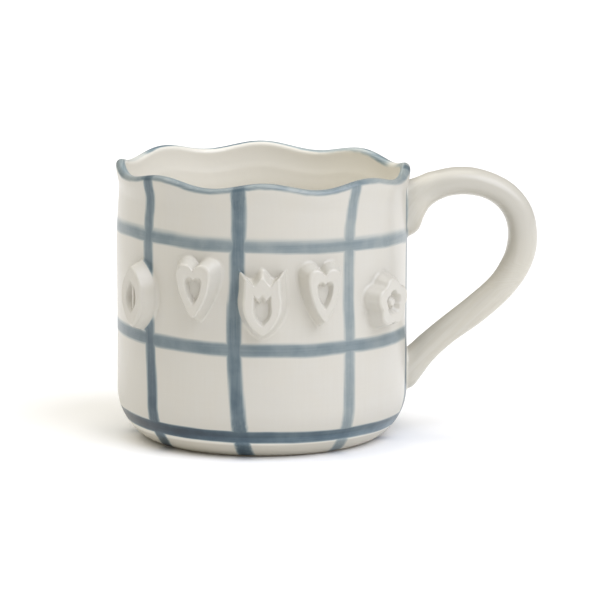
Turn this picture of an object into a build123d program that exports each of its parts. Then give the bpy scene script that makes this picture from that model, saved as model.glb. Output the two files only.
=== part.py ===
from build123d import *
import math
import os

# A stoneware mug: a straight-walled cup with a rounded lower corner, a foot ring and a waved lip,
# a cast loop handle luted on at +X, and five relief tiles luted on round the front, which is -Y.
# Millimetres, +Z up, origin at the centre of the foot ring's underside.
# Angles round the cup are in degrees from -Y, positive towards the handle.

# Cup wall and foot
WALL_RADIUS = 48.0
WALL_THICKNESS = 3.8
CORNER_RADIUS = 18.3
CORNER_TOP = 16.4
FOOT_RING_WIDTH = 3.6
FOOT_RECESS = 1.6
FOOT_RECESS_SLOPE = 30
FOOT_ROUNDING = 0.7
FLOOR_HEIGHT = 6.0

# Neck and lip
NECK_START = 66.0
NECK_HEIGHT = 82.0
NECK_RADIUS = 47.6
LIP_HEIGHT = 90.2
LIP_RADIUS = 48.7
LIP_THICKNESS = 3.4
LIP_ROUNDING = 1.5
LIP_FLARE = (0.1, 1)

# The outline runs on this far above the lip before the waves are cut
LIP_OVERRUN = 6.0
OVERRUN_FLARE = 0.7

# The lip's waves: a regular ripple, and a slight lean down towards the handle
WAVE_COUNT = 8
WAVE_AMPLITUDE = 1.2
WAVE_PHASE = -4.0
LIP_LEAN = 0.75
WAVE_SAMPLES = 96

# Handle: its width across, and stations down its centreline, each
# (distance from the axis, height, depth in the handle's own plane)
HANDLE_WIDTH = 12.0
ROOT_STATIONS = (
    (44.0, 75.0, 19.6),
    (48.0, 75.5, 19.2),
    (51.2, 77.0, 17.2),
    (54.2, 79.8, 13.4),
    (57.6, 82.3, 10.8),
)
LOOP_STATIONS = (
    (61.6, 83.9, 9.8),
    (66.0, 84.5, 9.5),
    (72.4, 83.5, 9.5),
    (78.9, 80.4, 9.6),
    (83.6, 75.8, 9.7),
    (86.2, 70.2, 9.8),
    (86.8, 64.5, 10.0),
    (85.5, 58.6, 10.2),
    (81.6, 52.0, 10.1),
    (75.2, 45.0, 10.0),
    (65.2, 37.0, 9.8),
    (56.4, 30.2, 9.7),
    (50.6, 24.2, 9.8),
    (46.0, 18.4, 10.4),
)

# Relief tiles: rise from the wall, draft over that rise, roundings, and how far they start inside
# the wall before they are cut to it
TILE_RISE = 5.3
TILE_DRAFT = 1.3
TILE_ROUNDING = 1.0
TILE_CORNER = 1.2
TILE_ROOT = 4.0

# Each tile's face is dished: a smaller copy of its outline is sunk into it
DISH_DEPTH = 2.0
DISH_RIM = 0.58
DISH_BOTTOM = 0.40

# What is left standing in the dishes: the leaf's midrib and the flower's centre
RIB_WIDTH = 1.2
RIB_LENGTH = 14.0
RIB_RISE = 1.1
BOSS_RADIUS = 2.0
BOSS_RISE = 1.4

# How far in the valleys between a flower's petals are, as a share of the petals' tips
PETAL_VALLEY = 0.78

# Edges are the same point within this, and run on smoothly under this bend in degrees
TOUCHING = 0.001
SMOOTH_BEND = 12

# Each tile's node name, outline, width and height of its face, angle round the cup and height of
# its centre
TILES = (
    ("relief_leaf", "leaf", (11.6, 21.0), -58.2, 52.0),
    ("relief_heart_left", "heart", (12.8, 18.6), -29.6, 56.2),
    ("relief_tulip", "tulip", (12.2, 20.6), -4.6, 52.6),
    ("relief_heart_right", "heart", (12.0, 18.4), 18.0, 54.8),
    ("relief_flower", "flower", (16.6, 16.6), 49.4, 49.8),
)


def round_the_cup(angle, radius, height):
    """A point at an angle round the cup, measured from -Y towards the handle."""
    a = math.radians(angle)
    return Vector(radius * math.sin(a), -radius * math.cos(a), height)


def lip_height(angle):
    ripple = math.cos(math.radians(WAVE_COUNT * (angle - WAVE_PHASE)))
    return LIP_HEIGHT + WAVE_AMPLITUDE * ripple - LIP_LEAN * math.sin(math.radians(angle))


def corner_foot_radius():
    """Radius where the outside corner's arc meets the ground."""
    return WALL_RADIUS - CORNER_RADIUS + math.sqrt(CORNER_RADIUS**2 - CORNER_TOP**2)


def outside_edges():
    """The outside from the foot ring's outer edge up to a little above the lip."""
    foot = (corner_foot_radius(), 0)
    top = (LIP_RADIUS + OVERRUN_FLARE, LIP_HEIGHT + LIP_OVERRUN)
    corner = RadiusArc(foot, (WALL_RADIUS, CORNER_TOP), -CORNER_RADIUS)
    wall = Line((WALL_RADIUS, CORNER_TOP), (WALL_RADIUS, NECK_START))
    neck = Spline(
        (WALL_RADIUS, NECK_START),
        (NECK_RADIUS, NECK_HEIGHT),
        (LIP_RADIUS, LIP_HEIGHT),
        top,
        tangents=((0, 1), LIP_FLARE),
    )
    return corner, wall, neck, top


def outside_solid():
    """The cup's outside as if it were filled: everything luted on is cut to it."""
    corner, wall, neck, top = outside_edges()
    closing = Polyline(top, (0, top[1]), (0, 0), (corner_foot_radius(), 0))
    return revolve(Plane.XZ * make_face([corner, wall, neck, *closing.edges()]), Axis.Z)


def inside_solid():
    """The space inside the cup, open upwards."""
    radius = WALL_RADIUS - WALL_THICKNESS
    corner = CORNER_RADIUS - WALL_THICKNESS
    top = (LIP_RADIUS - LIP_THICKNESS + OVERRUN_FLARE, LIP_HEIGHT + LIP_OVERRUN)
    floor = Line((0, FLOOR_HEIGHT), (radius - corner, FLOOR_HEIGHT))
    bend = RadiusArc(floor @ 1, (radius, FLOOR_HEIGHT + corner), -corner)
    wall = Line(bend @ 1, (radius, NECK_START))
    neck = Spline(
        wall @ 1,
        (NECK_RADIUS - WALL_THICKNESS, NECK_HEIGHT),
        (LIP_RADIUS - LIP_THICKNESS, LIP_HEIGHT),
        top,
        tangents=((0, 1), LIP_FLARE),
    )
    closing = Polyline(top, (0, top[1]), (0, FLOOR_HEIGHT))
    return revolve(Plane.XZ * make_face([floor, bend, wall, neck, *closing.edges()]), Axis.Z)


def above_the_lip():
    """What the waved lip is cut with: all the space over a rippling ring."""
    rings = []
    for radius in (WALL_RADIUS - 3 * WALL_THICKNESS, WALL_RADIUS + 3 * WALL_THICKNESS):
        angles = [360 * i / WAVE_SAMPLES for i in range(WAVE_SAMPLES)]
        rings.append(Spline([round_the_cup(a, radius, lip_height(a)) for a in angles], periodic=True))
    ripple = Face.make_surface_from_curves(rings[0].edge(), rings[1].edge())
    return extrude(ripple, amount=3 * LIP_OVERRUN, dir=(0, 0, 1))


def foot_recess():
    """The shallow hollow inside the foot ring."""
    radius = corner_foot_radius() - FOOT_RING_WIDTH
    return extrude(Circle(radius), amount=FOOT_RECESS, taper=FOOT_RECESS_SLOPE)


def mug_body():
    body = outside_solid() - inside_solid() - above_the_lip() - foot_recess()
    lip_edges = [
        e for e in body.edges() if e.bounding_box().min.Z > LIP_HEIGHT - 3 * WAVE_AMPLITUDE
    ]
    body = fillet(lip_edges, LIP_ROUNDING)
    foot_edges = [e for e in body.edges() if e.bounding_box().max.Z < 0.01]
    return fillet(foot_edges, FOOT_ROUNDING)


def handle_section(place, along, depth):
    """One oval slice of the handle, square to the direction it runs in."""
    plane = Plane(origin=place, x_dir=(0, 1, 0), z_dir=along)
    return plane * Ellipse(HANDLE_WIDTH / 2, depth / 2)


def mug_handle():
    stations = ROOT_STATIONS + LOOP_STATIONS
    centreline = Spline([(r, 0, z) for r, z, _ in stations])
    sections = []
    for number, (radius, height, depth) in enumerate(stations):
        place = Vector(radius, 0, height)
        along = Vector(1, 0, 0)
        if number >= len(ROOT_STATIONS):
            along = centreline.tangent_at(centreline.param_at_point(place))
        sections.append(handle_section(place, along, depth))
    return loft(sections)


def rounded_outline(right_half):
    """The face inside a right half-outline and its mirror image, with its corners rounded."""
    left_half = [edge for part in right_half for edge in mirror(part, Plane.YZ).edges()]
    face = make_face([*right_half, *left_half])
    corners = [vertex for vertex in face.vertices() if is_corner(face, vertex)]
    return fillet(corners, TILE_CORNER)


def is_corner(face, vertex):
    """Whether the face's two edges at this vertex meet at an angle."""
    point = Vector(vertex.X, vertex.Y, vertex.Z)
    directions = []
    for edge in face.edges():
        directions += [edge % end for end in (0, 1) if (edge @ end - point).length < TOUCHING]
    bend = directions[0].get_angle(directions[1])
    return SMOOTH_BEND < bend < 180 - SMOOTH_BEND


def leaf_outline(width, height):
    """An upright leaf: two arcs that meet at the tip and the base."""
    return rounded_outline([ThreePointArc((0, -height / 2), (width / 2, 0), (0, height / 2))])


def heart_outline(width, height):
    """Two round lobes and two gently bowed sides down to the point."""
    lobe = width / 4
    shoulder = height / 2 - lobe
    arc = ThreePointArc((0, shoulder + lobe * 0.2), (lobe, height / 2), (width / 2, shoulder))
    side = ThreePointArc(arc @ 1, (width * 0.36, -height * 0.1), (0, -height / 2))
    return rounded_outline([arc, side])


def tulip_outline(width, height):
    """Three pointed petals over a round cup."""
    half = width / 2
    top = height / 2
    cup = ThreePointArc((0, -top), (half * 0.92, -top * 0.4), (half, top * 0.35))
    petals = Polyline(cup @ 1, (half, top * 0.96), (half * 0.47, top * 0.6), (0, top))
    return rounded_outline([cup, *petals.edges()])


def flower_outline(width, height):
    """Five round petals."""
    def around(reach, turn):
        a = math.radians(turn)
        return (width / 2 * reach * math.cos(a), height / 2 * reach * math.sin(a))

    valleys = [around(PETAL_VALLEY, 54 - 72 * i) for i in range(3)]
    tips = [around(1, 18 - 72 * i) for i in range(2)]
    top = TangentArc(around(1, 90), valleys[0], tangent=(1, 0))
    petals = [ThreePointArc(valleys[i], tips[i], valleys[i + 1]) for i in range(2)]
    return rounded_outline([top, *petals])


# Each outline, and the height on it that its dish closes in to
OUTLINES = {
    "leaf": (leaf_outline, 0),
    "heart": (heart_outline, 0.6),
    "tulip": (tulip_outline, -3.4),
    "flower": (flower_outline, 0),
}


def standing_detail(kind):
    """What stands on the bottom of this kind's dish, if anything."""
    if kind == "leaf":
        return extrude(Rectangle(RIB_WIDTH, RIB_LENGTH), RIB_RISE)
    if kind == "flower":
        return extrude(Circle(BOSS_RADIUS), BOSS_RISE)
    return None


def relief_tile(kind, size, angle, height):
    """A block with drafted sides and a dished face, standing square to the wall."""
    outline, dish_height = OUTLINES[kind]
    width, tall = size
    outwards = round_the_cup(angle, 1, 0)
    to_the_right = (math.cos(math.radians(angle)), math.sin(math.radians(angle)), 0)

    def plane_at(radius):
        return Plane(
            origin=round_the_cup(angle, radius, height), x_dir=to_the_right, z_dir=outwards
        )

    def smaller(share):
        return Pos(0, dish_height * (1 - share)) * scale(outline(width, tall), by=share)

    root_growth = 2 * TILE_DRAFT * (TILE_RISE + TILE_ROOT) / TILE_RISE
    root = plane_at(WALL_RADIUS - TILE_ROOT) * outline(width + root_growth, tall + root_growth)
    face_radius = WALL_RADIUS + TILE_RISE
    block = loft([root, plane_at(face_radius) * outline(width, tall)], ruled=True)
    top = block.faces().sort_by(Axis((0, 0, 0), outwards))[-1]
    block = fillet(top.edges(), TILE_ROUNDING)
    dish_plane = plane_at(face_radius - DISH_DEPTH)
    over_the_face = plane_at(face_radius + DISH_DEPTH) * smaller(2 * DISH_RIM - DISH_BOTTOM)
    dish = loft([dish_plane * smaller(DISH_BOTTOM), over_the_face], ruled=True)
    detail = standing_detail(kind)
    if detail:
        dish -= dish_plane * detail
    return block - dish


def main():
    os.makedirs("parts", exist_ok=True)
    outside = outside_solid()
    nodes = {"mug_body": mug_body(), "mug_handle": mug_handle() - outside}
    for name, kind, size, angle, height in TILES:
        nodes[name] = relief_tile(kind, size, angle, height) - outside
    for name, shape in nodes.items():
        export_step(shape, f"parts/{name}.step")


main()
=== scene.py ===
"""A hand-painted stoneware mug with a waved lip, a loop handle and five raised relief tiles.

Sizes are in millimetres in the CAD frame: +Z up, the handle towards +X, the relief towards -Y.
Angles round the cup are in degrees from -Y, positive towards the handle.
"""

import math

import bmesh
import bpy
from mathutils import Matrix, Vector, noise


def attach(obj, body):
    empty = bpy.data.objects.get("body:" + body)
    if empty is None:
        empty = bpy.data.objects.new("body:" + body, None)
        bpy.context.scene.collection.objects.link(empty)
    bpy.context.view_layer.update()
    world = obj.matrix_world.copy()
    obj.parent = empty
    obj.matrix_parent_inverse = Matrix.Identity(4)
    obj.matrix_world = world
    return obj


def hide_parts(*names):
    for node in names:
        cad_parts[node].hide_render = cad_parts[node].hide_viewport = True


MM = 0.001

# The cup, much as in the CAD. Its lip and waves are a little smaller, so that it stays inside the
# CAD's box, and its lip stands a little nearer the handle.
WALL_RADIUS = 48.0
WALL_THICKNESS = 3.8
CORNER_RADIUS = 18.3
CORNER_TOP = 16.4
CORNER_CENTRE = WALL_RADIUS - CORNER_RADIUS
FOOT_RING_WIDTH = 3.6
FOOT_RECESS = 1.6
FOOT_ROUNDING = 0.7
FOOT_EDGE = ((-0.35, 0.08), (0.18, 0.33))
RING_ROUNDING = 0.35
RECESS_ROUNDING = 0.5
RECESS_SLOPE = 1.4
FLOOR_HEIGHT = 6.0
NECK_START = 66.0
NECK_HEIGHT = 82.0
NECK_RADIUS = 47.6
LIP_HEIGHT = 90.2
LIP_RADIUS = 48.6
LIP_SHIFT = 0.4
LIP_BEAD = 1.7
WAVE_COUNT = 8
WAVE_AMPLITUDE = 1.19
WAVE_PHASE = -4.0
WAVE_START = 70.0
WAVE_FULL = LIP_HEIGHT - 3
LIP_LEAN = 0.75
INSIDE_RIDGE = 0.12
INSIDE_FLARE = 75.0
UNEVENNESS = 0.14
UNEVEN_ROUND = 1.9
UNEVEN_RISE = 26
UNEVEN_FROM = (2, 16)
UNEVEN_UP_TO = (80, 88)
AROUND = 384

# The handle: matching points on its outside and its inside line, each (distance from axis, height)
HANDLE_WIDTH = 12.0
ROOT_WIDTH = 13.4
HANDLE_LINES = (
    ((46.8, 84.2), (46.8, 64.9)),
    ((50.0, 85.0), (50.7, 67.0)),
    ((52.5, 85.9), (52.2, 68.8)),
    ((55.0, 86.9), (53.3, 71.8)),
    ((58.1, 87.6), (54.8, 74.8)),
    ((61.8, 88.35), (57.4, 77.2)),
    ((65.9, 88.65), (61.8, 79.1)),
    ((71.3, 88.15), (67.5, 79.6)),
    ((77.9, 86.0), (73.2, 78.5)),
    ((83.8, 82.5), (77.6, 75.9)),
    ((88.5, 77.1), (80.6, 72.0)),
    ((91.1, 70.4), (81.9, 67.3)),
    ((91.4, 61.6), (81.6, 62.2)),
    ((88.5, 53.1), (80.0, 57.4)),
    ((82.6, 45.1), (76.0, 51.3)),
    ((73.6, 37.1), (68.3, 44.5)),
    ((63.5, 30.0), (59.2, 37.4)),
    ((57.0, 24.1), (53.1, 32.4)),
    ((52.8, 18.6), (50.1, 29.7)),
    ((50.2, 15.4), (48.4, 28.3)),
    ((46.9, 14.0), (46.8, 27.2)),
)
HANDLE_SQUARENESS = 2.35
HANDLE_AROUND = 64
HANDLE_SAMPLES = 12
ROOT_REACH = 0.2
ROOT_FILLET = 0.7

# The relief tiles
TILE_RISE = 5.3
TILE_DRAFT = 1.3
TILE_ROUNDING = 1.15
TILE_FILLET = 1.1
TILE_SINK = 0.25
TILE_BACK = -0.9
TILE_CROWN = 0.1
CROWN_SHARE = 0.8
CROWN_REACH = 0.4
DISH_DEPTH = 2.0
DISH_RIM = 0.62
DISH_BOTTOM = 0.34
PETAL_VALLEY = 0.78
RIB_WIDTH = 1.2
RIB_RISE = 1.1
RIB_EDGE = (0.3, 0.8)
BOSS_RADIUS = 2.0
BOSS_RISE = 1.4
BOSS_EDGE = (0.45, 1.15)
# Piece, node, motif, width and height of its face, angle and height of its centre
TILES = (
    ("leaf_tile", "relief_leaf", "leaf", (11.6, 21.0), -58.2, 52.0),
    ("heart_tile_left", "relief_heart_left", "heart", (12.8, 18.6), -29.6, 56.2),
    ("tulip_tile", "relief_tulip", "tulip", (12.2, 20.6), -4.6, 52.6),
    ("heart_tile_right", "relief_heart_right", "heart", (12.0, 18.4), 18.0, 54.8),
    ("flower_tile", "relief_flower", "flower", (16.6, 16.6), 49.4, 49.8),
)

# The painted grid. A vertical stripe is its angle, its width, how thick its paint is under the lip
# and at the foot, and how far it strays sideways at each distance up the wall.
STRIPES = (
    (-56.7, 4.4, 1.20, 2.10, (
        (2, 2.2), (6, 2.8), (13, 3.05), (23, 2.95), (33, 2.3), (50, 1.7), (64, 1.5), (76, 1.3),
        (82, 1.8), (85.5, 1.8), (88.5, 1.7),
    )),
    (-14.2, 4.5, 1.26, 1.58, (
        (3, 1.0), (10, 0.5), (16, 0.1), (23, -0.45), (28, -0.7), (34, -1.05), (40, -1.2),
        (46, -1.15), (50, -1.05), (54, -0.5), (60, -0.1), (67, 0.0), (76, 0.4), (88, 0.4),
    )),
    (32.2, 4.1, 0.65, 0.80, (
        (-0.4, -0.1), (4, -0.5), (10, -0.8), (17, -0.55), (32, -0.45), (45, -0.55), (51, -0.9),
        (58, -0.85), (66, -0.7), (74, -0.45), (79, 0.45), (84, 1.1),
    )),
    (78.6, 4.4, 1.15, 1.7, (
        (3, -3.0), (10, -2.2), (20, -1.2), (32, -0.4), (60, 0.0), (76, 0.8), (86, 1.4),
    )),
    (126.0, 4.3, 1.1, 1.4, ((3, -0.6), (28, 0.5), (58, -0.7), (86, 0.2))),
    (171.0, 4.6, 0.9, 1.2, ((3, 0.7), (25, -0.4), (50, 0.6), (86, -0.5))),
    (216.0, 4.4, 1.2, 1.5, ((3, 0.2), (34, 0.8), (62, -0.3), (86, 0.4))),
    (260.0, 4.5, 1.0, 1.4, ((3, -0.5), (22, 0.2), (48, -0.8), (86, 0.1))),
)

# A band is its half width, how soft its upper and lower edges are, its distance up the wall at each
# angle, and how thick its paint is at each angle.
BANDS = (
    (1.98, 1.6, 0.6, (
        (-180, 70.0), (-100, 71.0), (-71, 72.0), (-47, 71.9), (-35, 71.4), (-10, 71.0), (4, 70.7),
        (16, 70.3), (26, 70.1), (43, 69.5), (61, 69.0), (90, 67.6), (130, 68.6), (180, 70.0),
    ), ((-180, 0.8), (-60, 1.0), (-25, 0.92), (0, 0.77), (60, 0.79), (180, 0.8))),
    (2.04, 0.8, 0.7, (
        (-180, 36.6), (-100, 38.1), (-71, 38.2), (-47, 37.8), (-35, 37.5), (-20, 37.0), (5, 36.8),
        (16, 36.5), (25, 36.8), (43, 36.4), (55, 36.3), (80, 36.0), (120, 35.4), (180, 36.6),
    ), ((-180, 1.0), (-60, 1.16), (0, 1.01), (60, 0.96), (180, 1.0))),
    (2.28, 0.45, 0.5, (
        (-180, 7.0), (-84, 8.6), (-61, 8.4), (-41, 7.95), (-22, 7.65), (-5, 7.4), (5, 7.1),
        (20, 6.95), (37, 7.1), (52, 6.85), (80, 6.6), (120, 6.8), (180, 7.0),
    ), ((-180, 1.5), (-60, 3.0), (-30, 2.5), (0, 1.85), (60, 1.7), (180, 1.5))),
)

# How strong the lip's blue is at each angle
LIP_PAINT = (
    (-180, 1.9), (-171, 1.9), (-163, 0.9), (-154, 0.35), (-145, 0.8), (-137, 1.5), (-127, 0.5),
    (-118, 0.2), (-100, 0.7), (-82, 1.0), (-67, 0.6), (-57, 1.1), (-40, 0.93), (-15, 0.97),
    (2, 0.8), (12, 0.64), (22, 0.78), (32, 1.1), (42, 0.62), (56, 0.54), (70, 0.8), (92, 0.7),
    (105, 0.05), (117, 1.15), (128, 0.6), (155, 0.9), (168, 0.9), (180, 1.9),
)

# Base colours of the glaze and the clay, and how fast the blue paint takes away each channel
CREAM = (0.565, 0.546, 0.492)
# Painted light: the inside's cream is paler than the outside's
INSIDE_LIT_CREAM = (0.74, 0.713, 0.636)
HANDLE_CREAM = (0.575, 0.552, 0.485)
DARK_CLAY = (0.52, 0.46, 0.38)
PALE_CLAY = (0.66, 0.60, 0.51)
PAINT_TINT = (1.19, 0.92, 0.735)

# What a glaze's cream is multiplied by where it differs from the rest
PATCH_TONE = (0.975, 0.975, 0.975)
THICK_TONE = (1.0, 0.985, 0.95)
BRUSHED_TONE = (0.975, 0.965, 0.95)
GRAIN_TONE = (0.94, 0.925, 0.89)
# Painted shade: the handle's top made darker
HANDLE_TOP_SHADE_TONE = (0.89, 0.89, 0.89)
# Painted shade: the lower corner's cream made darker and warmer
CORNER_SHADE_TONE = (0.99, 0.965, 0.90)
# Painted light: the inside's right side is paler still, fading in over this distance towards the
# handle
INSIDE_RIGHT_LIGHT_TONE = (1.14, 1.14, 1.14)
INSIDE_RIGHT_LIGHT_SPREAD = 42

# Brush marks: how finely each noise varies round the cup and up it
SLOW_BAND_MARKS = (0.02, 1.5)
FINE_BAND_MARKS = (0.05, 4.0)
STRIPE_MARKS = (2.6, 0.10)
UPRIGHT_MARKS = (1.1, 0.05)
LEVEL_MARKS = (0.05, 1.1)
LIP_MARKS = (0.06, 1.2)

# A stroke of the brush: how ragged its edges are, how much its streaks vary, and how its paint
# thins from its middle to its edges
STROKE_RAGGED = 0.8
STROKE_STREAKY = 0.6
STROKE_MIDDLE = 1.06
STROKE_THINNING = 0.2
STROKE_WOBBLE = 0.7
CROSSING_EXTRA = 0.07
# The tops of the ranges that BANDS and LIP_PAINT are read in
THICKEST_BAND = 3.5
STRONGEST_LIP = 2

# A stripe is this soft at its edges and wobbles by this share of a band's wobble. It widens and
# thickens towards the foot, and thickens a little under the lip: each of these starts and is
# complete at two distances up the wall.
STRIPE_SOFTNESS = 0.8
STRIPE_WOBBLE = 0.4
STRIPE_WIDENS = (20, 4)
STRIPE_WIDENING = 0.2
STRIPE_THICKENS = (50, 12)
STRIPE_LOADED = (79, 84)
STRIPE_LOAD = 0.14

# Paint pools at the foot, and is thinner where the brush ran dry
POOLED_BELOW = (6, -1)
POOLED_EXTRA = 0.35
DRY_LEAST = 0.88
DRY_RANGE = 0.24

# The paint fades in and out at these distances from the lower corner's centre line, and the
# inside's painted light at this radius. The last two limits move outwards with the lip.
PAINTED_FROM = (16.6, 17.2)
PAINTED_UP_TO = (19.2, 18.6)
INSIDE_LIT_WITHIN = (46.2, 45.4)
LIP_SPREAD = 1.2
LIP_SPREAD_RISE = 6
# The grid's paint runs on to the handle's roots as far as this radius
HANDLE_PAINTED_WITHIN = (48.6, 47.9)

# The lip's blue: how far down it fades, how far in it wraps, and how its strength varies
LIP_FADE = (2.05, 1.0)
LIP_WRAP = 46.1
LIP_WRAP_SIDES = 0.9
LIP_WRAP_FADE = 0.35
LIP_LEAST = 0.68
LIP_RANGE = 0.6

# The handle's brush marks go round this centre in its loop, and straight along its lower arm
LOOP_CENTRE = (67, 65)
ARM_HEIGHTS = (58, 48)
ARM_SLANT = 0.7
# Painted shade on the handle's top fades in over these heights and these distances towards the
# handle
HANDLE_TOP_SHADE_RISE = (50, 76)
HANDLE_TOP_SHADE_REACH = (52, 60)

# Where painted shade darkens and warms the cream round the lower corner, and the foot's bare clay:
# up to this height, and outside this radius
CORNER_SHADE_BELOW = (14, 1)
BARE_BELOW = (0.5, 0.25)
BARE_OUTSIDE = (32.0, 33.5)

# The shader: its least roughness, and what the glaze's wander, the paint and bare clay add to it
ROUGHNESS = (0.28, 0.08, 0.03, 0.4)
# What the glaze's ripple, its peel, the paint and the clay's grain raise the surface by, in mm
RELIEF = (0.07, 0.004, 0.03, 0.15)
GLAZE_IOR = 1.45
COAT_WEIGHT = 0.18
COAT_ROUGHNESS = 0.12


def smooth_step(low, high, value):
    t = min(max((value - low) / (high - low), 0.0), 1.0)
    return t * t * (3 - 2 * t)


# ---------------------------------------------------------------- the cup's shape


def lip_height(angle):
    ripple = math.cos(math.radians(WAVE_COUNT * (angle - WAVE_PHASE)))
    return LIP_HEIGHT + WAVE_AMPLITUDE * ripple - LIP_LEAN * math.sin(math.radians(angle))


def wave_lift(angle, height):
    """How far the lip's waves raise a point that is at this height on a level cup."""
    return (lip_height(angle) - LIP_HEIGHT) * smooth_step(WAVE_START, WAVE_FULL, height)


def outside_radius(height):
    if height < CORNER_TOP:
        return CORNER_CENTRE + math.sqrt(CORNER_RADIUS**2 - (CORNER_TOP - height) ** 2)
    waist = NECK_RADIUS - WALL_RADIUS
    flare = LIP_RADIUS - NECK_RADIUS
    return (
        WALL_RADIUS
        + waist * smooth_step(NECK_START, NECK_HEIGHT, height)
        + flare * smooth_step(NECK_HEIGHT, LIP_HEIGHT - LIP_BEAD, height)
    )


def inside_radius(height):
    waist = NECK_RADIUS - WALL_RADIUS
    flare = LIP_RADIUS - 2 * LIP_BEAD - (NECK_RADIUS - WALL_THICKNESS)
    ridge = INSIDE_RIDGE * math.exp(-((height - NECK_HEIGHT) ** 2))
    return (
        WALL_RADIUS
        - WALL_THICKNESS
        + waist * smooth_step(NECK_START, NECK_HEIGHT, height)
        + flare * smooth_step(INSIDE_FLARE, LIP_HEIGHT - LIP_BEAD, height)
        - ridge
    )


def unevenness(angle, height):
    """The slight hand-made wander of the wall in and out, with none at the foot or the lip."""
    a = math.radians(angle)
    spot = Vector((math.sin(a) * UNEVEN_ROUND, -math.cos(a) * UNEVEN_ROUND, height / UNEVEN_RISE))
    fade = smooth_step(*UNEVEN_FROM, height) * (1 - smooth_step(*UNEVEN_UP_TO, height))
    return UNEVENNESS * noise.noise(spot) * fade


def on_cup(angle, radius, height):
    """A point round the cup, in metres, with the wall's wander and the lip's waves and lean."""
    a = math.radians(angle)
    r = radius + unevenness(angle, height)
    shift = LIP_SHIFT * smooth_step(WAVE_START, WAVE_FULL, height)
    z = height + wave_lift(angle, height)
    return Vector((r * math.sin(a) + shift, -r * math.cos(a), z)) * MM


def arc(centre, radius, start, end, count):
    """Points round an arc in the (distance, height) plane, without its first point."""
    steps = [math.radians(start + (end - start) * i / count) for i in range(1, count + 1)]
    return [(centre[0] + radius * math.cos(t), centre[1] + radius * math.sin(t)) for t in steps]


def run(start, end, count):
    """Points along a straight line, without its first point."""
    steps = [i / count for i in range(1, count + 1)]
    return [(start[0] + (end[0] - start[0]) * t, start[1] + (end[1] - start[1]) * t) for t in steps]


def cup_profile():
    """The cup's section, from under its centre, out, up, over the lip and down to its floor."""
    foot = CORNER_CENTRE + math.sqrt(CORNER_RADIUS**2 - CORNER_TOP**2)
    ring_inside = foot - FOOT_RING_WIDTH
    recess_edge = ring_inside - RECESS_SLOPE
    line = [(0.0, FOOT_RECESS)]
    line += run(line[-1], (recess_edge, FOOT_RECESS), 14)
    line += arc((recess_edge, FOOT_RECESS - RECESS_ROUNDING), RECESS_ROUNDING, 90, 30, 3)
    line += run(line[-1], (ring_inside, RING_ROUNDING), 3)
    line += arc((ring_inside + RING_ROUNDING, RING_ROUNDING), RING_ROUNDING, 180, 270, 3)
    line += run(line[-1], (foot - FOOT_ROUNDING, 0.0), 5)
    line += [(foot + FOOT_ROUNDING * share, z) for share, z in FOOT_EDGE]
    corner = math.degrees(math.asin((CORNER_TOP - FOOT_ROUNDING) / CORNER_RADIUS))
    line += arc((CORNER_CENTRE, CORNER_TOP), CORNER_RADIUS, -corner, 0, 24)
    wall_top = LIP_HEIGHT - LIP_BEAD
    rise = run((0, CORNER_TOP), (0, NECK_START), 38) + run((0, NECK_START), (0, wall_top), 26)
    line += [(outside_radius(z), z) for _, z in rise]
    line += arc((LIP_RADIUS - LIP_BEAD, wall_top), LIP_BEAD, 0, 180, 16)
    inner_corner = CORNER_RADIUS - WALL_THICKNESS
    inner_corner_top = FLOOR_HEIGHT + inner_corner
    fall = run((0, wall_top), (0, NECK_START), 26)
    fall += run((0, NECK_START), (0, inner_corner_top), 30)
    line += [(inside_radius(z), z) for _, z in fall]
    line += arc((CORNER_CENTRE, inner_corner_top), inner_corner, 0, -90, 18)
    line += run(line[-1], (0.0, FLOOR_HEIGHT), 16)
    return line


def mesh_object(name, bm):
    """A smooth-shaded object from a bmesh, its faces turned outwards."""
    bmesh.ops.recalc_face_normals(bm, faces=bm.faces)
    for face in bm.faces:
        face.smooth = True
    mesh = bpy.data.meshes.new(name)
    bm.to_mesh(mesh)
    bm.free()
    piece = bpy.data.objects.new(name, mesh)
    bpy.context.scene.collection.objects.link(piece)
    return piece


def bridge(bm, one, other):
    """Quads between two closed rings of the same count."""
    for i in range(len(one)):
        j = (i + 1) % len(one)
        bm.faces.new((one[i], one[j], other[j], other[i]))


def fan(bm, ring, point):
    """Closes a ring with triangles to one point."""
    tip = bm.verts.new(point)
    for i in range(len(ring)):
        bm.faces.new((ring[i], ring[(i + 1) % len(ring)], tip))


def make_cup():
    bm = bmesh.new()
    angles = [360 * i / AROUND for i in range(AROUND)]
    line = cup_profile()
    rings = [[bm.verts.new(on_cup(a, r, z)) for a in angles] for r, z in line[1:-1]]
    for one, other in zip(rings, rings[1:]):
        bridge(bm, one, other)
    fan(bm, rings[0], (0, 0, line[0][1] * MM))
    fan(bm, rings[-1], (0, 0, line[-1][1] * MM))
    return mesh_object("cup", bm)


# ---------------------------------------------------------------- the handle's shape


def catmull_rom(points, samples):
    """A smooth line through points of any number of dimensions, with so many samples a span."""
    ends = [[2 * a - b for a, b in zip(points[i], points[j])] for i, j in ((0, 1), (-1, -2))]
    padded = [ends[0], *points, ends[1]]
    line = []
    for k in range(1, len(padded) - 2):
        p0, p1, p2, p3 = padded[k - 1 : k + 3]
        for i in range(samples):
            t = i / samples
            line.append([
                0.5 * (
                    2 * b
                    + (c - a) * t
                    + (2 * a - 5 * b + 4 * c - d) * t**2
                    + (3 * b - a - 3 * c + d) * t**3
                )
                for a, b, c, d in zip(p0, p1, p2, p3)
            ])
    return line + [list(points[-1])]


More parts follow.
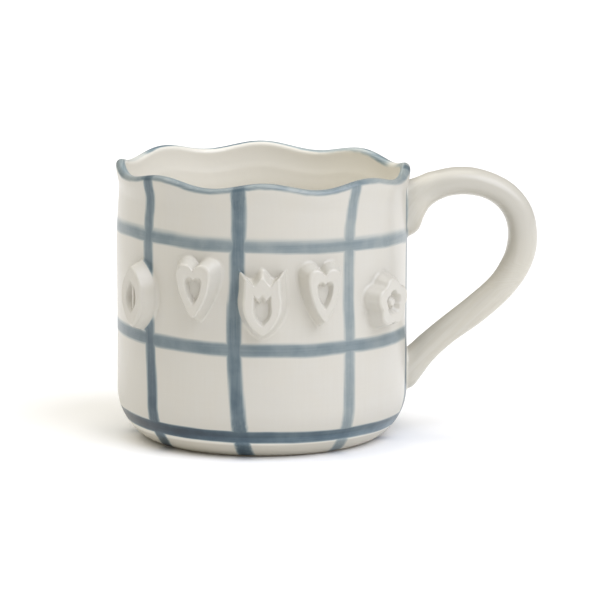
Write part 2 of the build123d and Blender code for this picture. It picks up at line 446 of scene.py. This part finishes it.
def handle_ring(outer, inner, width):
    """One section of the handle: a squarish oval between its outside and inside lines."""
    middle = (Vector(outer) + Vector(inner)) / 2
    half_depth = (Vector(outer) - Vector(inner)) / 2
    ring = []
    for i in range(HANDLE_AROUND):
        t = 2 * math.pi * i / HANDLE_AROUND
        c, s = math.cos(t), math.sin(t)
        c = math.copysign(abs(c) ** (2 / HANDLE_SQUARENESS), c)
        s = math.copysign(abs(s) ** (2 / HANDLE_SQUARENESS), s)
        across = middle + half_depth * c
        ring.append(Vector((across.x, width / 2 * s, across.y)))
    centre = Vector((middle.x, 0, middle.y))
    return [spread_at_wall(point, centre) for point in ring]


def spread_at_wall(point, centre):
    """Turns a ring outwards where it nears the cup, so that it runs into the wall in a fillet."""
    out = Vector((point.x, point.y, 0))
    above = out.length - outside_radius(point.z)
    if above >= ROOT_FILLET:
        return point
    reach = ROOT_FILLET - max(above, 0)
    spread = ROOT_FILLET - math.sqrt(max(ROOT_FILLET**2 - reach**2, 0))
    sideways = point - centre
    sideways -= sideways.dot(out.normalized()) * out.normalized()
    return point + sideways.normalized() * spread


def make_handle():
    bm = bmesh.new()
    line = catmull_rom([(*outer, *inner) for outer, inner in HANDLE_LINES], HANDLE_SAMPLES)
    rings = []
    for i, (ox, oz, ix, iz) in enumerate(line):
        along = i / (len(line) - 1)
        near_root = 1 - smooth_step(0, ROOT_REACH, min(along, 1 - along))
        width = HANDLE_WIDTH + (ROOT_WIDTH - HANDLE_WIDTH) * near_root
        rings.append([p * MM for p in handle_ring((ox, oz), (ix, iz), width)])
    verts = [[bm.verts.new(p) for p in ring] for ring in rings]
    for one, other in zip(verts, verts[1:]):
        bridge(bm, one, other)
    for ring, points in ((verts[0], rings[0]), (verts[-1], rings[-1])):
        fan(bm, ring, sum(points, Vector()) / len(points))
    return mesh_object("handle", bm)


# ---------------------------------------------------------------- the relief tiles' shapes


def through(start, middle, end, count):
    """Points round the arc through three points, without its last point."""
    (ax, ay), (bx, by), (cx, cy) = start, middle, end
    d = 2 * (ax * (by - cy) + bx * (cy - ay) + cx * (ay - by))
    aa, bb, cc = ax**2 + ay**2, bx**2 + by**2, cx**2 + cy**2
    ux = (aa * (by - cy) + bb * (cy - ay) + cc * (ay - by)) / d
    uy = (aa * (cx - bx) + bb * (ax - cx) + cc * (bx - ax)) / d
    angles = [math.atan2(y - uy, x - ux) for x, y in (start, middle, end)]
    turn = (angles[2] - angles[0]) % (2 * math.pi)
    if (angles[1] - angles[0]) % (2 * math.pi) > turn:
        turn -= 2 * math.pi
    radius = math.hypot(ax - ux, ay - uy)
    steps = [angles[0] + turn * i / count for i in range(count)]
    return [(ux + radius * math.cos(t), uy + radius * math.sin(t)) for t in steps]


def straight(start, end, count):
    """Points along a straight line, without its last point."""
    steps = [i / count for i in range(count)]
    return [(start[0] + (end[0] - start[0]) * t, start[1] + (end[1] - start[1]) * t) for t in steps]


def leaf(width, height):
    return through((0, -height / 2), (width / 2, 0), (0, height / 2), 110)


def heart(width, height):
    lobe = width / 4
    shoulder = height / 2 - lobe
    side = (width / 2, shoulder)
    lower = through((0, -height / 2), (width * 0.36, -height * 0.1), side, 64)
    return lower + through(side, (lobe, height / 2), (0, shoulder + lobe * 0.2), 46)


def tulip(width, height):
    half, top = width / 2, height / 2
    shoulder, tip, valley = (half, top * 0.35), (half, top * 0.96), (half * 0.47, top * 0.6)
    line = through((0, -top), (half * 0.92, -top * 0.4), shoulder, 66)
    line += straight(shoulder, tip, 12) + straight(tip, valley, 16)
    return line + straight(valley, (0, top), 16)


def flower(width, height):
    def around(reach, turn):
        a = math.radians(turn)
        return (width / 2 * reach * math.cos(a), height / 2 * reach * math.sin(a))

    valleys = [around(PETAL_VALLEY, -90 + 72 * i) for i in range(4)]
    line = []
    for i, turn in enumerate((-54, 18)):
        line += through(valleys[i], around(1, turn), valleys[i + 1], 44)
    return line + through(valleys[2], around(1, 90), valleys[3], 44)[:22]


# Each motif's right half, and the height on it that its rings close in to
MOTIFS = {"leaf": (leaf, 0), "heart": (heart, 0.6), "tulip": (tulip, -3.4), "flower": (flower, 0)}


def rounded(points, passes=20):
    """A closed line with its corners softened."""
    for _ in range(passes):
        before, after = points[-1:] + points[:-1], points[1:] + points[:1]
        points = [
            ((a[0] + 2 * b[0] + c[0]) / 4, (a[1] + 2 * b[1] + c[1]) / 4)
            for a, b, c in zip(before, points, after)
        ]
    return points


def motif_outline(kind, size, growth):
    """The motif's whole outline, this much larger all round than its face's size."""
    right = MOTIFS[kind][0](size[0] + 2 * growth, size[1] + 2 * growth)
    left = [(-x, y) for x, y in reversed(right[1:])]
    return rounded(right + left)


def tile_steps():
    """(growth, height above the wall) down the tile's side, from its face's edge into the wall."""
    steps = []
    for i in range(7):
        t = math.radians(90 * i / 6)
        height = TILE_RISE - TILE_ROUNDING * (1 - math.cos(t))
        steps.append((TILE_ROUNDING * (math.sin(t) - 1), height))
    low = TILE_FILLET * 0.9
    drop = steps[-1][1] - low
    steps += [(TILE_DRAFT * i / 8, steps[-1][1] - drop * i / 8) for i in range(1, 9)]
    growth = steps[-1][0]
    for i in range(1, 9):
        t = math.radians(90 * i / 8)
        steps.append((growth + TILE_FILLET * (1 - math.cos(t)), low - low * math.sin(t)))
    return steps + [(growth + TILE_FILLET + TILE_SINK, -TILE_SINK)]


def tile_point(angle, centre_height, x, y, height):
    """A point of a tile: flat and square to the wall on top, and following the wall at its root."""
    hug = 1 - smooth_step(TILE_FILLET, TILE_RISE - TILE_ROUNDING, height)
    z = centre_height + y
    radius = outside_radius(z)
    flat_depth = math.sqrt(radius**2 - x**2) * hug + radius * (1 - hug) + height
    a = math.radians(angle)
    lean = unevenness(angle + math.degrees(x / radius), z) * hug
    depth = flat_depth + lean
    return Vector((
        depth * math.sin(a) + x * math.cos(a),
        -depth * math.cos(a) + x * math.sin(a),
        z,
    )) * MM


def face_height(share):
    """The face's height at this share of the way from its centre to its edge: dish, then rim."""
    crown = TILE_CROWN * (1 - smooth_step(0, CROWN_REACH, abs(share - CROWN_SHARE)))
    dish = DISH_DEPTH * (1 - smooth_step(DISH_BOTTOM, DISH_RIM, share))
    return TILE_RISE - TILE_CROWN + crown - dish


def detail_height(kind, x, y):
    """The height of what stands in the dish: a leaf's midrib, a flower's domed centre."""
    away, reach, rise, edge = {
        "leaf": (abs(x), RIB_WIDTH, RIB_RISE, RIB_EDGE),
        "flower": (math.hypot(x, y), BOSS_RADIUS, BOSS_RISE, BOSS_EDGE),
    }.get(kind, (1, 1, 0, (0, 1)))
    return TILE_RISE - DISH_DEPTH + rise * (1 - smooth_step(reach * edge[0], reach * edge[1], away))


def make_tile(name, kind, size, angle, height):
    bm = bmesh.new()
    centre = MOTIFS[kind][1]
    edge = motif_outline(kind, size, -TILE_ROUNDING)
    rings = []
    inner_rings = 44
    for i in range(1, inner_rings + 1):
        s = i / (inner_rings + 1)
        ring = [(x * s, centre + (y - centre) * s) for x, y in edge]
        rings.append([(x, y, max(face_height(s), detail_height(kind, x, y))) for x, y in ring])
    for growth, rise in tile_steps():
        rings.append([(x, y, rise) for x, y in motif_outline(kind, size, growth)])
    verts = [[bm.verts.new(tile_point(angle, height, *p)) for p in ring] for ring in rings]
    for one, other in zip(verts, verts[1:]):
        bridge(bm, one, other)
    middle = max(face_height(0), detail_height(kind, 0, centre))
    fan(bm, verts[0], tile_point(angle, height, 0, centre, middle))
    fan(bm, verts[-1], tile_point(angle, height, 0, 0, TILE_BACK))
    return mesh_object(name, bm)


# ---------------------------------------------------------------- materials


class Num:
    """A number in a node tree that can be used in ordinary sums."""

    def __init__(self, tree, socket):
        self.tree, self.socket = tree, socket

    def math(self, operation, *others):
        node = self.tree.nodes.new("ShaderNodeMath")
        node.operation = operation
        for slot, value in zip(node.inputs, (self, *others)):
            put(self.tree, slot, value)
        return Num(self.tree, node.outputs[0])

    def __add__(self, other):
        return self.math("ADD", other)

    def __sub__(self, other):
        return self.math("SUBTRACT", other)

    def __rsub__(self, other):
        return (self * -1) + other

    def __mul__(self, other):
        return self.math("MULTIPLY", other)

    def __truediv__(self, other):
        return self.math("DIVIDE", other)

    def __abs__(self):
        return self.math("ABSOLUTE")

    __radd__, __rmul__ = __add__, __mul__

    def step(self, low, high):
        """0 at low, 1 at high, smooth between; low may be the larger."""
        node = self.tree.nodes.new("ShaderNodeMapRange")
        node.interpolation_type = "SMOOTHSTEP"
        for slot, value in zip(node.inputs, (self, low, high)):
            put(self.tree, slot, value)
        return Num(self.tree, node.outputs[0])

    def curve(self, points, low, high):
        """Reads a smooth curve through (position, value) points with values from low to high."""
        start, end = points[0][0], points[-1][0]
        node = self.tree.nodes.new("ShaderNodeFloatCurve")
        line = node.mapping.curves[0]
        spots = [((p - start) / (end - start), (v - low) / (high - low)) for p, v in points]
        for spot, (x, y) in zip((line.points[0], line.points[1]), (spots[0], spots[-1])):
            spot.location = (x, y)
        for x, y in spots[1:-1]:
            line.points.new(x, y)
        node.mapping.update()
        put(self.tree, node.inputs["Value"], (self - start) / (end - start))
        return Num(self.tree, node.outputs[0]) * (high - low) + low


def put(tree, slot, value):
    """Sets an input to a plain value, or links it to a node's output."""
    if isinstance(value, Num):
        tree.links.new(value.socket, slot)
    elif isinstance(value, bpy.types.NodeSocket):
        tree.links.new(value, slot)
    else:
        slot.default_value = value


def combine(tree, x, y, z):
    node = tree.nodes.new("ShaderNodeCombineXYZ")
    for slot, value in zip(node.inputs, (x, y, z)):
        put(tree, slot, value)
    return node.outputs[0]


def cloud(tree, where, scale, detail=2.0, roughness=0.5):
    """Noise from 0 to 1, about 0.5."""
    node = tree.nodes.new("ShaderNodeTexNoise")
    put(tree, node.inputs["Vector"], where)
    node.inputs["Scale"].default_value = scale
    node.inputs["Detail"].default_value = detail
    node.inputs["Roughness"].default_value = roughness
    return Num(tree, node.outputs["Fac"])


def mix_colour(tree, amount, one, other, blend="MIX"):
    node = tree.nodes.new("ShaderNodeMix")
    node.data_type = "RGBA"
    node.blend_type = blend
    node.clamp_factor = True
    put(tree, node.inputs[0], amount)
    put(tree, node.inputs[6], one if not isinstance(one, tuple) else (*one, 1))
    put(tree, node.inputs[7], other if not isinstance(other, tuple) else (*other, 1))
    return node.outputs[2]


def marks(tree, x, y, up, finenesses, scale, detail, roughness):
    """Noise drawn out into brush marks, by how finely it varies round the cup and up it."""
    around, upwards = finenesses
    where = combine(tree, x * around, y * around, up * upwards)
    return cloud(tree, where, scale, detail, roughness)


def times(colour, factors):
    """A colour with each channel multiplied by its own factor."""
    return tuple(c * k for c, k in zip(colour, factors))


def place(tree):
    """Where a point is on the mug: x, y, z, distance from the axis and angle, in mm and degrees."""
    node = tree.nodes.new("ShaderNodeTexCoord")
    parts = tree.nodes.new("ShaderNodeSeparateXYZ")
    tree.links.new(node.outputs["Object"], parts.inputs[0])
    x, y, z = (Num(tree, out) * (1 / MM) for out in parts.outputs)
    radius = (x * x + y * y).math("SQRT")
    angle = x.math("ARCTAN2", y * -1) * (180 / math.pi)
    return x, y, z, radius, angle


def up_the_wall(z, radius):
    """Distance up the outside surface: the height, and round the lower corner the arc's length."""
    below = (CORNER_TOP - z).math("MAXIMUM", 0)
    out = (radius - CORNER_CENTRE).math("MAXIMUM", 0.001)
    turn = below.math("ARCTAN2", out)
    return z.math("MAXIMUM", CORNER_TOP) - turn * CORNER_RADIUS


def lip_spread(z):
    """How far the limits of the paint and of the inside's painted light move outwards with the lip.
    """
    return (z - NECK_HEIGHT).step(0, LIP_SPREAD_RISE) * LIP_SPREAD


def stroke(across, half_width, soft, streaks):
    """How much paint a brush stroke leaves at this distance from its middle."""
    share = across / half_width
    ragged = abs(across) + (streaks - 0.5) * STROKE_RAGGED
    inside = ragged.step(half_width + soft, half_width - soft)
    return inside * (1 - (streaks - 0.5) * STROKE_STREAKY) * (
        STROKE_MIDDLE - share * share * STROKE_THINNING
    )


def most(one, other):
    """The larger of two thicknesses, where the first may still be missing."""
    return other if one is None else one.math("MAXIMUM", other)


def painted_bands(climb, angle, wobble, streaks):
    """Thickness of the paint in the bands, which go round the cup."""
    bands = None
    for half_width, soft_top, soft_foot, heights, thickness in BANDS:
        values = [v for _, v in heights]
        across = climb - angle.curve(heights, min(values) - 1, max(values) + 1) - wobble
        soft = across.step(-1, 1) * (soft_top - soft_foot) + soft_foot
        paint = stroke(across, half_width, soft, streaks)
        bands = most(bands, paint * angle.curve(thickness, 0, THICKEST_BAND))
    return bands


def painted_stripes(climb, radius, angle, wobble, streaks):
    """Thickness of the paint in the stripes: wider at the foot, and thicker towards it."""
    stripes = None
    for turn, width, under_lip, at_foot, strays in STRIPES:
        offsets = [v for _, v in strays]
        stray = climb.curve(strays, min(offsets) - 0.5, max(offsets) + 0.5)
        away = (angle - turn).math("WRAP", 180, -180) * (math.pi / 180)
        across = away * radius - stray - wobble * STRIPE_WOBBLE
        half_width = width / 2 + climb.step(*STRIPE_WIDENS) * STRIPE_WIDENING
        thickness = climb.step(*STRIPE_THICKENS) * (at_foot - under_lip) + under_lip
        thickness = thickness * (climb.step(*STRIPE_LOADED) * STRIPE_LOAD + 1)
        paint = stroke(across, half_width, STRIPE_SOFTNESS, streaks)
        stripes = most(stripes, paint * thickness)
    return stripes


def painted_grid(tree, x, y, z, radius, angle):
    """Thickness of the paint in the bands and the stripes, from 0 upwards, and a slow blotch."""
    here = combine(tree, x, y, z)
    climb = up_the_wall(z, radius)
    blotch = cloud(tree, here, 0.16, 3, 0.55)
    wobble = (cloud(tree, here, 0.07, 1) - 0.5) * STROKE_WOBBLE
    slow = marks(tree, x, y, climb, SLOW_BAND_MARKS, 1.0, 2, 0.5)
    fine = marks(tree, x, y, climb, FINE_BAND_MARKS, 1.0, 2, 0.5)
    bands = painted_bands(climb, angle, wobble, slow * 0.5 + fine * 0.5)
    up_and_down = marks(tree, x, y, climb, STRIPE_MARKS, 0.55, 3, 0.6)
    stripes = painted_stripes(climb, radius, angle, wobble, up_and_down)

    # Only the outside of the wall is painted: not the inside, the foot or what stands proud of it
    out = (radius - CORNER_CENTRE).math("MAXIMUM", 0)
    down = (CORNER_TOP - z).math("MAXIMUM", 0)
    skin = (out * out + down * down).math("SQRT")
    outside = skin.step(*PAINTED_FROM) * (skin - lip_spread(z)).step(*PAINTED_UP_TO)
    dry = DRY_LEAST + blotch.step(0.3, 0.7) * DRY_RANGE
    pooled = climb.step(*POOLED_BELOW) * POOLED_EXTRA + 1
    both = bands.math("MAXIMUM", stripes) + bands.math("MINIMUM", stripes) * CROSSING_EXTRA
    return both * outside * dry * pooled, blotch


def lip_line(tree, x, y, z, radius, angle):
    """The blue on the lip: over its bead, and a little way down the wall under it."""
    ripple = ((angle - WAVE_PHASE) * (WAVE_COUNT * math.pi / 180)).math("COSINE") * WAVE_AMPLITUDE
    sideways = (angle * (math.pi / 180)).math("SINE")
    below = ripple - sideways * LIP_LEAN + LIP_HEIGHT - z
    run_down = cloud(tree, combine(tree, x, y, z), 0.22, 2) - 0.5
    edge = (below + run_down * 0.7).step(*LIP_FADE)
    around, up = LIP_MARKS
    where = combine(tree, x * around, y * around, z * up + radius * up)
    strength = LIP_LEAST + cloud(tree, where, 1.3, 3, 0.6).step(0.25, 0.8) * LIP_RANGE
    # It wraps over on to the inside a little, more towards the cup's sides than at its back
    wrap = LIP_WRAP - sideways * sideways * LIP_WRAP_SIDES + run_down * 0.5
    over = (radius - wrap).step(-LIP_WRAP_FADE, LIP_WRAP_FADE)
    return edge * over * strength * angle.curve(LIP_PAINT, 0, STRONGEST_LIP)


def absorb(tree, colour, paint):
    """The colour under this much paint: each channel dies away at its own rate."""
    channels = [(paint * (-rate)).math("EXPONENT") for rate in PAINT_TINT]
    node = tree.nodes.new("ShaderNodeCombineColor")
    for slot, value in zip(node.inputs, channels):
        put(tree, slot, value)
    return mix_colour(tree, 1.0, colour, node.outputs[0], "MULTIPLY")


def brushed(tree, colour, cream, x, y, z):
    """The cup's cream with faint brush marks up it and round it."""
    upright = marks(tree, x, y, z, UPRIGHT_MARKS, 1.0, 3, 0.6)
    level = marks(tree, x, y, z, LEVEL_MARKS, 1.0, 3, 0.6)
    amount = (upright * 0.6 + level * 0.4).step(0.4, 0.65) * 0.6
    return mix_colour(tree, amount, colour, times(cream, BRUSHED_TONE))


def grained(tree, colour, cream, x, y, z):
    """The handle's cream with faint marks along it, and painted shade that darkens it on top."""
    aside, above = x - LOOP_CENTRE[0], z - LOOP_CENTRE[1]
    across_loop = (aside * aside + above * above).math("SQRT")
    across_arm = (z - x) * ARM_SLANT
    across = across_loop + (across_arm - across_loop) * z.step(*ARM_HEIGHTS)
    grain = cloud(tree, combine(tree, across * 1.1, y * 0.8, z * 0.03), 1.0, 3, 0.6)
    colour = mix_colour(tree, grain.step(0.4, 0.65) * 0.8, colour, times(cream, GRAIN_TONE))
    # Painted shade: the handle's cream is darker on its top
    shaded_top = z.step(*HANDLE_TOP_SHADE_RISE) * x.step(*HANDLE_TOP_SHADE_REACH)
    return mix_colour(tree, shaded_top, colour, times(cream, HANDLE_TOP_SHADE_TONE))


def glaze(name, cream, painted=True):
    """Cream glaze, painted in slate blue unless it is the handle's, and bare clay on the foot."""
    material = bpy.data.materials.new(name)
    material.use_nodes = True
    tree = material.node_tree
    tree.nodes.clear()
    x, y, z, radius, angle = place(tree)
    here = combine(tree, x, y, z)

    # The glaze's own colour wanders a little, warmer where it is thick
    tone = cloud(tree, here, 0.035, 2).step(0.3, 0.7)
    warmth = cloud(tree, here, 0.11, 3).step(0.35, 0.75) * 0.5
    colour = mix_colour(tree, tone, times(cream, PATCH_TONE), cream)
    colour = mix_colour(tree, warmth, colour, times(cream, THICK_TONE))
    colour = (brushed if painted else grained)(tree, colour, cream, x, y, z)
    # Painted shade: the cream is darker and warmer round the lower corner
    low = up_the_wall(z, radius).step(*CORNER_SHADE_BELOW)
    colour = mix_colour(tree, low, colour, times(cream, CORNER_SHADE_TONE))
    # Painted light: the inside's cream is paler, standing in for the light inside the cup
    above_floor = z.step(FLOOR_HEIGHT - 1.5, FLOOR_HEIGHT - 0.5)
    inside_lit_mask = above_floor * (radius - lip_spread(z)).step(*INSIDE_LIT_WITHIN)
    # Painted light: paler still towards the inside's right side
    inside_right_light = times(INSIDE_LIT_CREAM, INSIDE_RIGHT_LIGHT_TONE)
    inside_painted_light = mix_colour(tree, x.step(0, INSIDE_RIGHT_LIGHT_SPREAD), INSIDE_LIT_CREAM, inside_right_light)
    colour = mix_colour(tree, inside_lit_mask, colour, inside_painted_light)

    # The handle takes only what ran on to its roots from the grid, and none of the lip's blue
    grid, blotch = painted_grid(tree, x, y, z, radius, angle)
    if painted:
        lip = lip_line(tree, x, y, z, radius, angle)
    else:
        grid, lip = grid * radius.step(*HANDLE_PAINTED_WITHIN), 0
    colour = absorb(tree, colour, grid.math("MAXIMUM", lip) + grid.math("MINIMUM", lip) * 0.2)

    # Bare clay where the mug stood in the kiln
    bare = (z + (blotch - 0.5) * 0.25).step(*BARE_BELOW) * radius.step(*BARE_OUTSIDE)
    clay_grain = cloud(tree, here, 3.0, 4, 0.6)
    colour = mix_colour(tree, bare, colour, mix_colour(tree, clay_grain, DARK_CLAY, PALE_CLAY))

    paint = (grid + lip).math("MINIMUM", 1)
    ripple = cloud(tree, here, 0.12, 2)
    peel = cloud(tree, here, 0.9, 2)
    bump = tree.nodes.new("ShaderNodeBump")
    bump.inputs["Strength"].default_value = 1.0
    bump.inputs["Distance"].default_value = MM
    by_ripple, by_peel, by_paint, by_clay = RELIEF
    relief = ripple * by_ripple + peel * by_peel + paint * by_paint + clay_grain * bare * by_clay
    put(tree, bump.inputs["Height"], relief)

    shader = tree.nodes.new("ShaderNodeBsdfPrincipled")
    least, by_wander, by_paint, by_clay = ROUGHNESS
    rough = least + cloud(tree, here, 0.3, 3) * by_wander + paint * by_paint + bare * by_clay
    put(tree, shader.inputs["Base Color"], colour)
    put(tree, shader.inputs["Roughness"], rough)
    put(tree, shader.inputs["Normal"], bump.outputs["Normal"])
    shader.inputs["IOR"].default_value = GLAZE_IOR
    shader.inputs["Coat Weight"].default_value = COAT_WEIGHT
    shader.inputs["Coat Roughness"].default_value = COAT_ROUGHNESS
    output = tree.nodes.new("ShaderNodeOutputMaterial")
    tree.links.new(shader.outputs["BSDF"], output.inputs["Surface"])
    return material


# ---------------------------------------------------------------- camera, floor and light

# The camera looks at a point this high up and this far to its own right of the cup's axis
CAMERA_DISTANCE = 1800
CAMERA_ELEVATION = 10.26
CAMERA_TURN = 5.0
CAMERA_LENS = 325.98
CAMERA_HEIGHT = 45.0
CAMERA_ASIDE = 12.54

FLOOR_RADIUS = 6.0
FLOOR_COLOUR = (0.97, 0.97, 0.97, 1)
WORLD_COLOUR = (0.78, 0.745, 0.655, 1)
WORLD_STRENGTH = 0.42
# Both lights are square: where each is, its power and its colour
LIGHT_SIZE = 5.5
KEY_LIGHT = ((2.9, -2.8, 4.4), 322, (0.955, 0.99, 1.12))
TOP_LIGHT = ((-1.4, 0.6, 4.6), 196, (1.01, 0.985, 0.93))
LIT_POINT = (0, 0, 0.05)


def aim(thing, place_at, target):
    """Puts a camera or a light at a point, looking at another."""
    thing.location = place_at
    thing.rotation_euler = (Vector(target) - Vector(place_at)).to_track_quat("-Z", "Y").to_euler()


def make_camera():
    turn, rise = math.radians(CAMERA_TURN), math.radians(CAMERA_ELEVATION)
    right = Vector((math.cos(turn), -math.sin(turn), 0))
    back = Vector((-math.sin(turn), -math.cos(turn), 0))
    target = right * CAMERA_ASIDE + Vector((0, 0, CAMERA_HEIGHT))
    eye = target + (back * math.cos(rise) + Vector((0, 0, math.sin(rise)))) * CAMERA_DISTANCE
    data = bpy.data.cameras.new("camera")
    data.lens = CAMERA_LENS
    data.sensor_width = 36
    data.clip_end = 20
    camera = bpy.data.objects.new("camera", data)
    bpy.context.scene.collection.objects.link(camera)
    aim(camera, eye * MM, target * MM)
    bpy.context.scene.camera = camera


def make_floor():
    """A wide, plain pale floor."""
    bm = bmesh.new()
    bmesh.ops.create_circle(bm, cap_ends=True, segments=96, radius=FLOOR_RADIUS)
    floor = mesh_object("floor", bm)
    material = bpy.data.materials.new("pale_floor")
    material.use_nodes = True
    shader = material.node_tree.nodes["Principled BSDF"]
    shader.inputs["Base Color"].default_value = FLOOR_COLOUR
    shader.inputs["Roughness"].default_value = 0.9
    shader.inputs["Specular IOR Level"].default_value = 0.1
    floor.data.materials.append(material)


def make_light(name, place_at, power, colour):
    data = bpy.data.lights.new(name, "AREA")
    data.shape = "SQUARE"
    data.size = LIGHT_SIZE
    data.energy = power
    data.color = colour
    light = bpy.data.objects.new(name, data)
    bpy.context.scene.collection.objects.link(light)
    aim(light, place_at, LIT_POINT)


def make_studio():
    scene = bpy.context.scene
    scene.view_settings.view_transform = "Standard"
    world = bpy.data.worlds.new("studio")
    world.use_nodes = True
    background = world.node_tree.nodes["Background"]
    background.inputs["Color"].default_value = WORLD_COLOUR
    background.inputs["Strength"].default_value = WORLD_STRENGTH
    scene.world = world
    make_light("key", *KEY_LIGHT)
    make_light("top", *TOP_LIGHT)


# ---------------------------------------------------------------- putting it together


def main():
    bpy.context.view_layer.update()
    make_camera()
    make_floor()
    make_studio()

    cup_glaze = glaze("cup_glaze", CREAM)
    handle_glaze = glaze("handle_glaze", HANDLE_CREAM, painted=False)
    pieces = [
        (make_cup(), "mug_body", "painted_glaze", cup_glaze),
        (make_handle(), "mug_handle", "plain_glaze", handle_glaze),
    ]
    for name, node, kind, size, angle, height in TILES:
        tile = make_tile(name, kind, size, angle, height)
        pieces.append((tile, node, "relief_glaze", cup_glaze))
    for piece, node, slot, material in pieces:
        piece.data.materials.append(material)
        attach(piece, "root")
        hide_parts(node)


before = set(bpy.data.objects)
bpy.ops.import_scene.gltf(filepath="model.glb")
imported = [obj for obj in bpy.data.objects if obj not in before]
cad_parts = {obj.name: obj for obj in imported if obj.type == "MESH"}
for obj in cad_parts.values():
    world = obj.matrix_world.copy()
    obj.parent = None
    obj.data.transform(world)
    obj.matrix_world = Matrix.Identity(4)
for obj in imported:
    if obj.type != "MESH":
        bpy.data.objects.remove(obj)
main()
